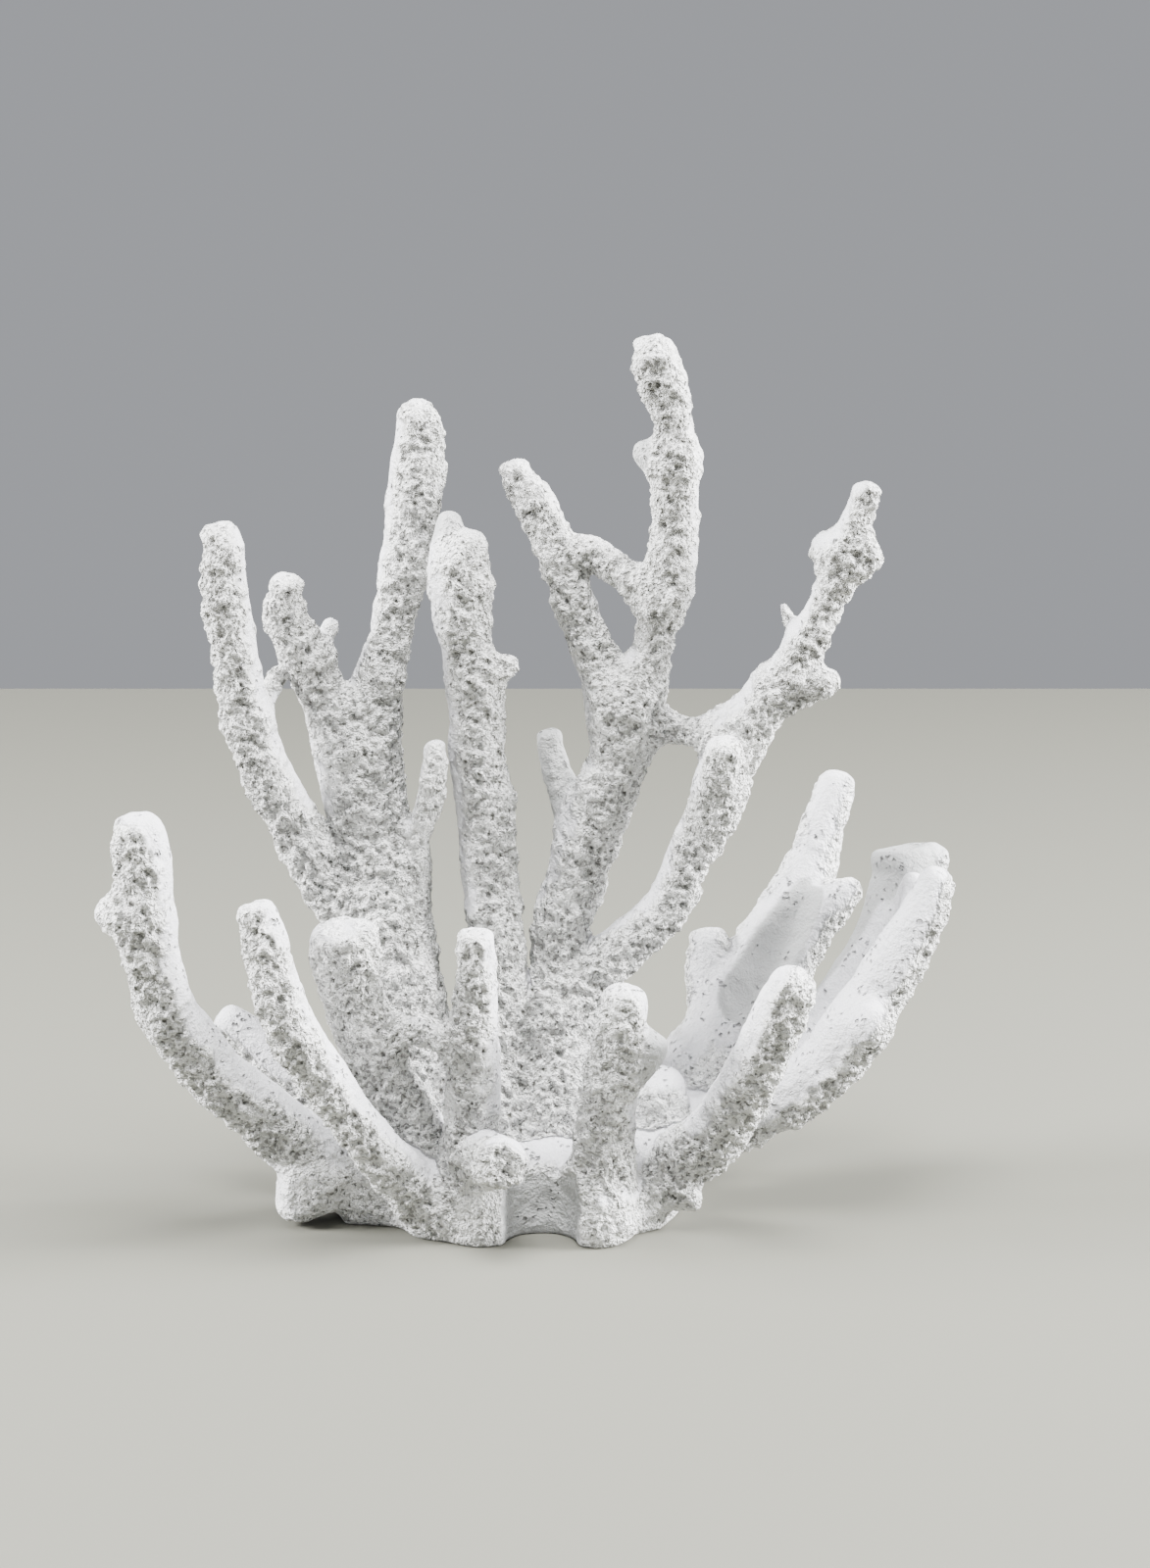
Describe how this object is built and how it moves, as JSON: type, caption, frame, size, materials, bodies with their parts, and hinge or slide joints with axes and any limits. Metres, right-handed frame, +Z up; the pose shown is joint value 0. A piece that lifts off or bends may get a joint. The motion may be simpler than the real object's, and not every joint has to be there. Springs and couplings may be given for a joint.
{
  "type": "staghorn coral skeleton",
  "caption": "Bleached staghorn coral skeleton: knobbly pitted limbs spread from a lobed crust, tall forked spires behind and short stumps in front, standing on a flat-cut foot.",
  "frame": {"origin": "middle of the flat underside that the coral stands on", "axes": "+Z up along the spires, +X to the right as seen from the front, +Y to the back"},
  "size_m": [0.2162, 0.1084, 0.2275],
  "materials": {
    "coral": "matt, chalky, with fine grey pits"
  },
  "bodies": {
    "root": {"holdfast": "coral", "left_trunk": "coral", "left_outer_spire": "coral", "left_short_fork": "coral", "left_tall_fork": "coral", "centre_spire": "coral", "middle_trunk": "coral", "middle_left_fork": "coral", "tallest_spire": "coral", "right_arm": "coral", "right_back_limb": "coral", "right_outer_limb": "coral", "right_front_limb": "coral", "front_right_stump": "coral", "front_middle_stump": "coral", "front_left_stump": "coral", "front_left_finger": "coral", "small_left_limb": "coral", "far_left_limb": "coral"}
  },
  "joints": []
}
